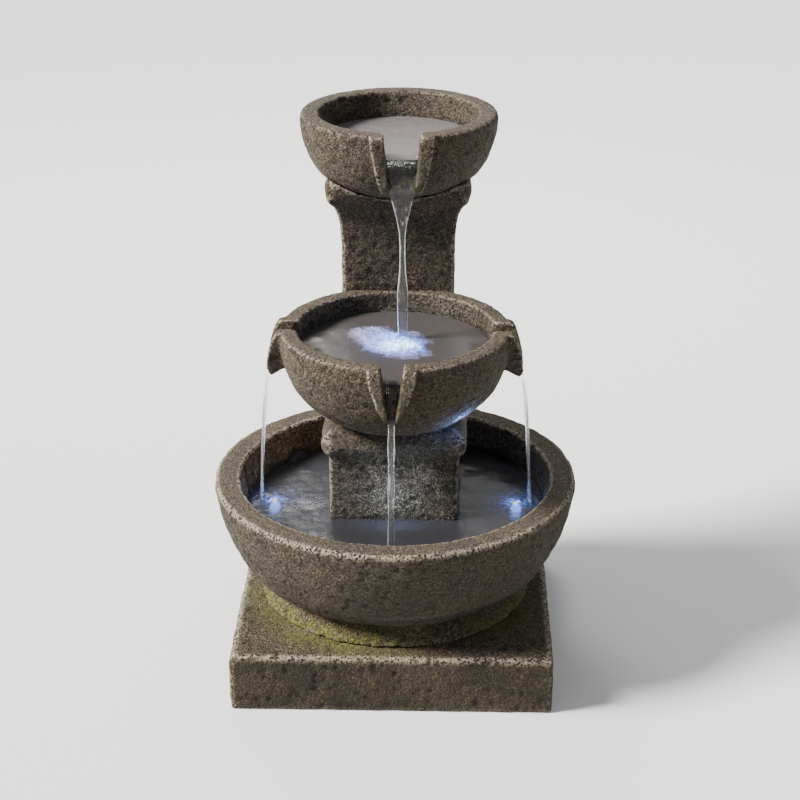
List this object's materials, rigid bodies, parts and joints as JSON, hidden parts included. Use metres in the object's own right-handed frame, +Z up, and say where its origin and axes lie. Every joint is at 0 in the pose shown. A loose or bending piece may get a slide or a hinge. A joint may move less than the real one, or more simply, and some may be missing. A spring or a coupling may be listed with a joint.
{
  "type": "tabletop water fountain",
  "caption": "Cast stone-look tabletop water fountain: stacked spouted bowls on a pedestal, rear column and square plinth, with submersible pump and underwater lamps.",
  "frame": {"origin": "centre of the underside of the base mat, on the table plane", "axes": "+Z up along the column, front spouts towards -Y, right spout towards +X"},
  "size_m": [0.24, 0.2823, 0.342],
  "materials": {
    "cast_stone": "rough cast stone-look resin, pitted, dry-brushed paler on its edges, mossy at the foot",
    "mat_rubber": "closed-cell rubber mat",
    "black_rubber": "moulded rubber",
    "pump_plastic": "fine textured black plastic",
    "core_steel": "laminated sheet steel",
    "coil_copper": "enamelled copper winding",
    "ferrite": "sintered ferrite",
    "shaft_ceramic": "ground ceramic",
    "impeller_plastic": "moulded plastic",
    "filter_foam": "open-cell foam",
    "dial_plastic": "moulded plastic",
    "clear_tubing": "translucent vinyl tube",
    "lead_sheath": "vinyl sheathed lead",
    "board_white": "white solder mask",
    "lamp_lens": "clear lens"
  },
  "bodies": {
    "root": {"plinth": "cast_stone", "lower_basin": "cast_stone", "pedestal": "cast_stone", "middle_bowl": "cast_stone", "rear_column": "cast_stone", "top_bowl": "cast_stone", "base_mat": "mat_rubber", "cord_grommet": "black_rubber", "pump_housing": "pump_plastic", "motor_backplate": "pump_plastic", "stator_core": "core_steel", "stator_coil": "coil_copper", "impeller_shaft": "shaft_ceramic", "rear_bush": "black_rubber", "front_bush": "black_rubber", "pump_volute": "pump_plastic", "pump_outlet": "pump_plastic", "riser_tube": "clear_tubing", "bowl_fitting": "pump_plastic", "fitting_gasket": "black_rubber", "fitting_nut": "pump_plastic", "junction_box": "pump_plastic", "lamp_lead_left": "lead_sheath", "lamp_lead_right": "lead_sheath", "lamp_lead_middle": "lead_sheath", "pump_lead": "lead_sheath", "suction_cup_1": "black_rubber", "suction_cup_2": "black_rubber", "suction_cup_3": "black_rubber", "suction_cup_4": "black_rubber", "lamp_cup_left": "pump_plastic", "lamp_board_left": "board_white", "lamp_lens_left": "lamp_lens", "lamp_seal_left": "black_rubber", "lamp_cup_right": "pump_plastic", "lamp_board_right": "board_white", "lamp_lens_right": "lamp_lens", "lamp_seal_right": "black_rubber", "lamp_cup_middle": "pump_plastic", "lamp_board_middle": "board_white", "lamp_lens_middle": "lamp_lens", "lamp_seal_middle": "black_rubber"},
    "access_door": {"access_door": "cast_stone"},
    "intake_cover": {"intake_cover": "pump_plastic", "filter_sponge": "filter_foam"},
    "flow_dial": {"flow_dial": "dial_plastic"},
    "rotor": {"impeller": "impeller_plastic", "rotor_magnet": "ferrite"}
  },
  "joints": [
    {"name": "access_door_slide", "type": "slide", "parent": "root", "child": "access_door", "axis": [0, 1, 0], "range_m": [0, 0.03]},
    {"name": "intake_cover_slide", "type": "slide", "parent": "root", "child": "intake_cover", "axis": [0, -1, 0], "range_m": [0, 0.012]},
    {"name": "flow_dial_turn", "type": "hinge", "parent": "intake_cover", "child": "flow_dial", "pos_m": [0, 0, 0.084], "axis": [0, 1, 0], "range_deg": [0, 90]},
    {"name": "impeller_spin", "type": "hinge", "parent": "root", "child": "rotor", "pos_m": [0, 0.03, 0.084], "axis": [0, 1, 0], "continuous": true}
  ]
}
